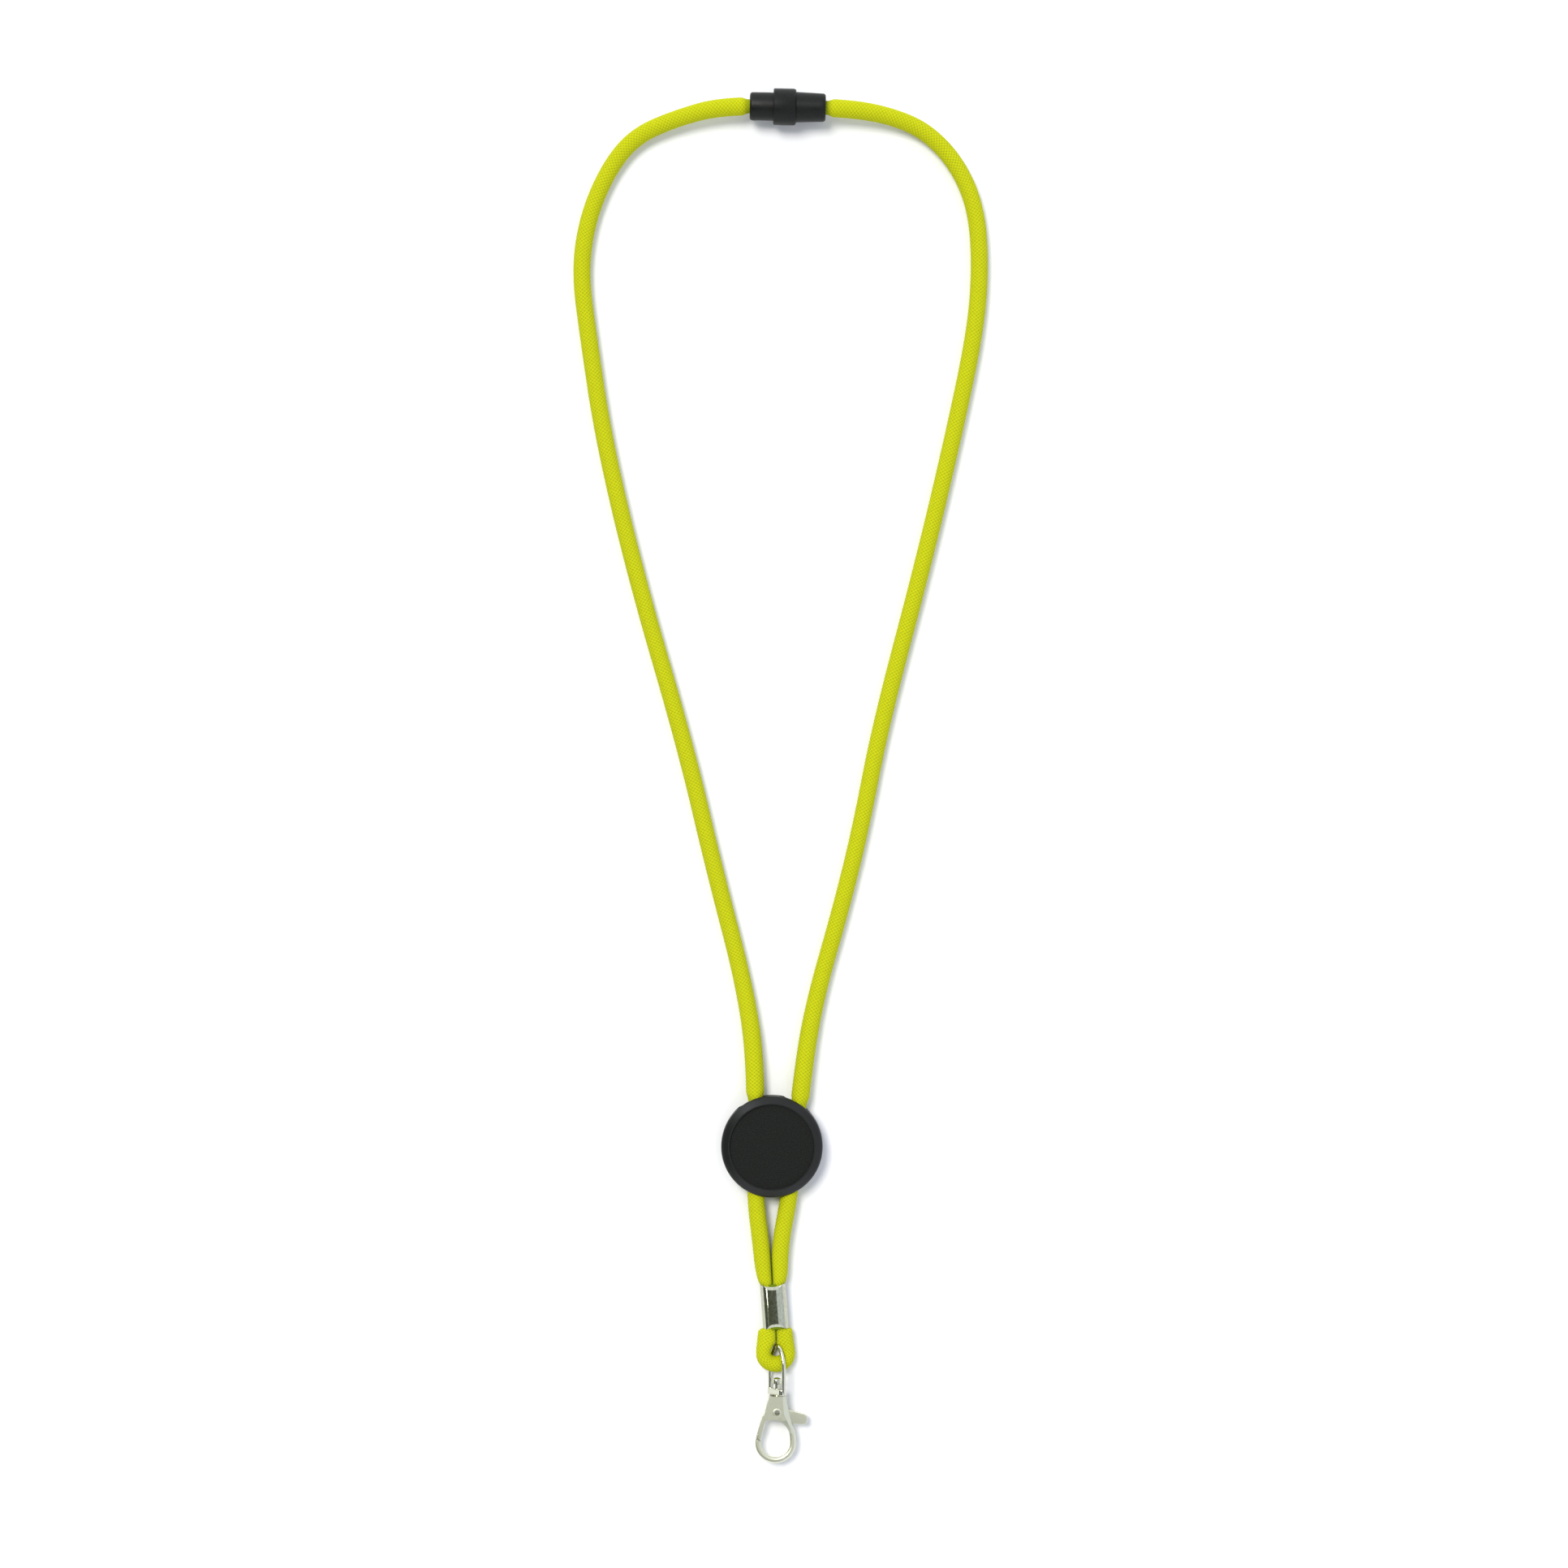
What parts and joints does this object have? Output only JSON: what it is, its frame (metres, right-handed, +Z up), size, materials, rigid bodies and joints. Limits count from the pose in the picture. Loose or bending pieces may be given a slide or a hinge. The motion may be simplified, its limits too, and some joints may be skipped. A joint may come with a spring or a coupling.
{
  "type": "lanyard",
  "caption": "Round-cord neck lanyard with a breakaway barrel clasp, a round slider badge, a crimp ferrule and a swivelling trigger hook.",
  "frame": {"origin": "on the floor under the middle of the hard parts, with the lanyard lying flat and its cord resting on z = 0", "axes": "+Z up out of the badge's face, +Y towards the neck end and the breakaway clasp, -Y towards the hook, +X to the right seen from above"},
  "size_m": [0.139, 0.4602, 0.0122],
  "materials": {
    "neck cord braid": "smooth lime yellow-green braid",
    "crimped cord": "squeezed braid, hidden in the ferrule",
    "clasp plastic": "matt black moulded",
    "snap plastic": "black moulded, slightly glossier",
    "end stop metal": "plain turned, hidden",
    "disc plastic": "matt black moulded, fine mottled grain in the recess",
    "disc back plastic": "matt black moulded",
    "ferrule metal": "polished nickel sleeve with bright bevelled mouths",
    "hook metal": "satin nickel",
    "wire metal": "bright nickel wire",
    "spring steel": "bright spring wire"
  },
  "bodies": {
    "neck_cord": {"cord_left_strand": "neck cord braid", "cord_right_strand": "neck cord braid", "cord_hook_loop": "neck cord braid", "cord_crimped_section": "crimped cord", "cord_end_stop_right": "end stop metal", "clasp_socket_collar": "clasp plastic", "clasp_female_barrel": "clasp plastic", "crimp_ferrule": "ferrule metal"},
    "clasp_male": {"clasp_male_barrel": "clasp plastic", "clasp_snap_plug": "snap plastic", "cord_end_stop_left": "end stop metal"},
    "disc_slider": {"disc_front_shell": "disc plastic", "disc_back_shell": "disc back plastic"},
    "yoke": {"swivel_yoke": "wire metal"},
    "hook": {"hook_body": "hook metal", "swivel_post": "hook metal", "gate_pivot_rivet": "hook metal", "gate_torsion_spring": "spring steel"},
    "gate": {"gate_lever": "hook metal"}
  },
  "joints": [
    {"name": "breakaway_snap", "type": "slide", "parent": "neck_cord", "child": "clasp_male", "axis": [-0.9998, 0.0209, 0], "range_m": [0, 0.012], "deforming": ["cord_left_strand", "clasp_snap_plug"]},
    {"name": "slider_slide", "type": "slide", "parent": "neck_cord", "child": "disc_slider", "axis": [0, 1, 0], "range_m": [-0.016, 0.01], "deforming": ["cord_left_strand", "cord_right_strand"]},
    {"name": "hook_swing", "type": "hinge", "parent": "neck_cord", "child": "yoke", "pos_m": [0.001, -0.1885, 0.00375], "axis": [1, 0, 0], "range_deg": [-50, 50], "deforming": ["cord_hook_loop"]},
    {"name": "hook_swivel", "type": "hinge", "parent": "yoke", "child": "hook", "pos_m": [0.0012, -0.2035, 0.00375], "axis": [0, 1, 0], "continuous": true},
    {"name": "gate_open", "type": "hinge", "parent": "hook", "child": "gate", "pos_m": [0.00125, -0.2132, 0.00375], "axis": [0, 0, 1], "range_deg": [0, 28], "stiffness_Nm_per_rad": 0.006, "springref_deg": -68.75, "deforming": ["gate_torsion_spring"]}
  ]
}
